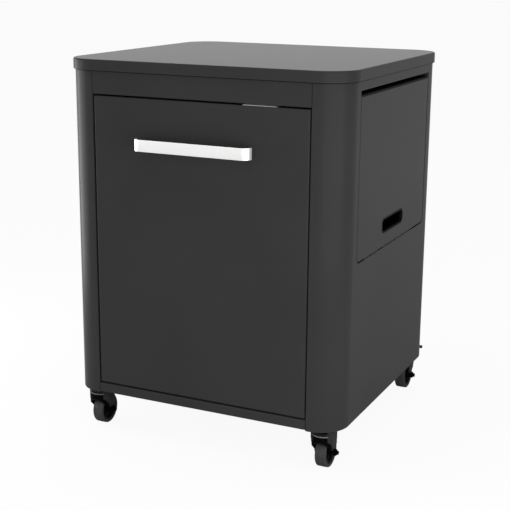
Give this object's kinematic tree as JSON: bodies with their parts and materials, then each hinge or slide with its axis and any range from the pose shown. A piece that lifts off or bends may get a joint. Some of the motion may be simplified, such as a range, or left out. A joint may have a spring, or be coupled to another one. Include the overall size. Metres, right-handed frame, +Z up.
{
  "type": "outdoor kitchen cabinet",
  "caption": "Square outdoor kitchen cabinet with round corners on swivel casters, a front door with a bent bar handle, and a side shelf that folds up on prop struts.",
  "frame": {"origin": "on the floor under the middle of the bounding box, which runs from the handle's face to the worktop's rear edge", "axes": "+X to the cabinet's right seen from the front, +Y to its back, +Z up"},
  "size_m": [0.608, 0.608, 0.783],
  "materials": {
    "powder_coat": "matte charcoal powder coat",
    "zinc_plate": "zinc plated",
    "handle_steel": "satin stainless",
    "black_nylon": "moulded",
    "magnet": "sintered",
    "bumper_rubber": "soft",
    "black_coat": "black coat",
    "axle_zinc": "blackened",
    "hub_plastic": "moulded",
    "tyre_rubber": "matte"
  },
  "bodies": {
    "carcass": {"worktop": "powder_coat", "worktop_stiffeners": "zinc_plate", "worktop_studs": "zinc_plate", "stud_nuts": "zinc_plate", "left_side_shell": "powder_coat", "right_side_shell": "powder_coat", "front_fascia": "powder_coat", "base_pan": "powder_coat", "rear_rail": "powder_coat", "back_panel": "powder_coat", "back_panel_screws": "zinc_plate", "door_bumpers": "bumper_rubber", "pivot_plates": "zinc_plate", "pivot_pins": "black_coat", "thrust_washer": "black_nylon", "catch_magnet": "magnet", "shelf_jambs": "powder_coat", "shelf_pins": "zinc_plate", "shelf_stop_rail": "zinc_plate", "strut_catches": "black_nylon", "caster_stems": "black_coat", "caster_backing_plates": "zinc_plate", "stem_nuts": "zinc_plate"},
    "door": {"door_skin": "powder_coat", "door_liner": "powder_coat", "liner_screws": "zinc_plate", "handle": "handle_steel", "handle_posts": "black_coat", "handle_screws": "zinc_plate", "pivot_blocks": "black_nylon", "strike_plate": "zinc_plate"},
    "side_shelf": {"shelf_panel": "powder_coat", "shelf_stiffener": "zinc_plate", "shelf_bushes": "black_nylon", "strut_pins": "zinc_plate"},
    "front_prop": {"front_strut": "zinc_plate"},
    "rear_prop": {"rear_strut": "zinc_plate"},
    "swivel_front_left": {"fork_front_left": "black_coat", "axle_front_left": "axle_zinc"},
    "wheel_front_left": {"hub_front_left": "hub_plastic", "tyre_front_left": "tyre_rubber"},
    "swivel_front_right": {"fork_front_right": "black_coat", "axle_front_right": "axle_zinc"},
    "wheel_front_right": {"hub_front_right": "hub_plastic", "tyre_front_right": "tyre_rubber"},
    "swivel_rear_left": {"fork_rear_left": "black_coat", "axle_rear_left": "axle_zinc"},
    "wheel_rear_left": {"hub_rear_left": "hub_plastic", "tyre_rear_left": "tyre_rubber"},
    "swivel_rear_right": {"fork_rear_right": "black_coat", "axle_rear_right": "axle_zinc"},
    "wheel_rear_right": {"hub_rear_right": "hub_plastic", "tyre_rear_right": "tyre_rubber"}
  },
  "joints": [
    {"name": "door_hinge", "type": "hinge", "parent": "carcass", "child": "door", "pos_m": [-0.2233, -0.264, 0.413], "axis": [0, 0, -1], "range_deg": [0, 100]},
    {"name": "shelf_hinge", "type": "hinge", "parent": "carcass", "child": "side_shelf", "pos_m": [0.29, 0.014, 0.7235], "axis": [0, -1, 0], "range_deg": [0, 90]},
    {"name": "front_prop_pivot", "type": "hinge", "parent": "side_shelf", "child": "front_prop", "pos_m": [0.286, -0.184, 0.5985], "axis": [0, 1, 0], "range_deg": [0, 154.99]},
    {"name": "rear_prop_pivot", "type": "hinge", "parent": "side_shelf", "child": "rear_prop", "pos_m": [0.286, 0.212, 0.5985], "axis": [0, 1, 0], "range_deg": [0, 154.99]},
    {"name": "swivel_front_left", "type": "hinge", "parent": "carcass", "child": "swivel_front_left", "pos_m": [-0.257, -0.233, 0.083], "axis": [0, 0, 1], "continuous": true},
    {"name": "roll_front_left", "type": "hinge", "parent": "swivel_front_left", "child": "wheel_front_left", "pos_m": [-0.257, -0.219, 0.032], "axis": [1, 0, 0], "continuous": true},
    {"name": "swivel_front_right", "type": "hinge", "parent": "carcass", "child": "swivel_front_right", "pos_m": [0.257, -0.233, 0.083], "axis": [0, 0, 1], "continuous": true},
    {"name": "roll_front_right", "type": "hinge", "parent": "swivel_front_right", "child": "wheel_front_right", "pos_m": [0.257, -0.219, 0.032], "axis": [1, 0, 0], "continuous": true},
    {"name": "swivel_rear_left", "type": "hinge", "parent": "carcass", "child": "swivel_rear_left", "pos_m": [-0.257, 0.257, 0.083], "axis": [0, 0, 1], "continuous": true},
    {"name": "roll_rear_left", "type": "hinge", "parent": "swivel_rear_left", "child": "wheel_rear_left", "pos_m": [-0.257, 0.271, 0.032], "axis": [1, 0, 0], "continuous": true},
    {"name": "swivel_rear_right", "type": "hinge", "parent": "carcass", "child": "swivel_rear_right", "pos_m": [0.257, 0.257, 0.083], "axis": [0, 0, 1], "continuous": true},
    {"name": "roll_rear_right", "type": "hinge", "parent": "swivel_rear_right", "child": "wheel_rear_right", "pos_m": [0.257, 0.271, 0.032], "axis": [1, 0, 0], "continuous": true}
  ]
}
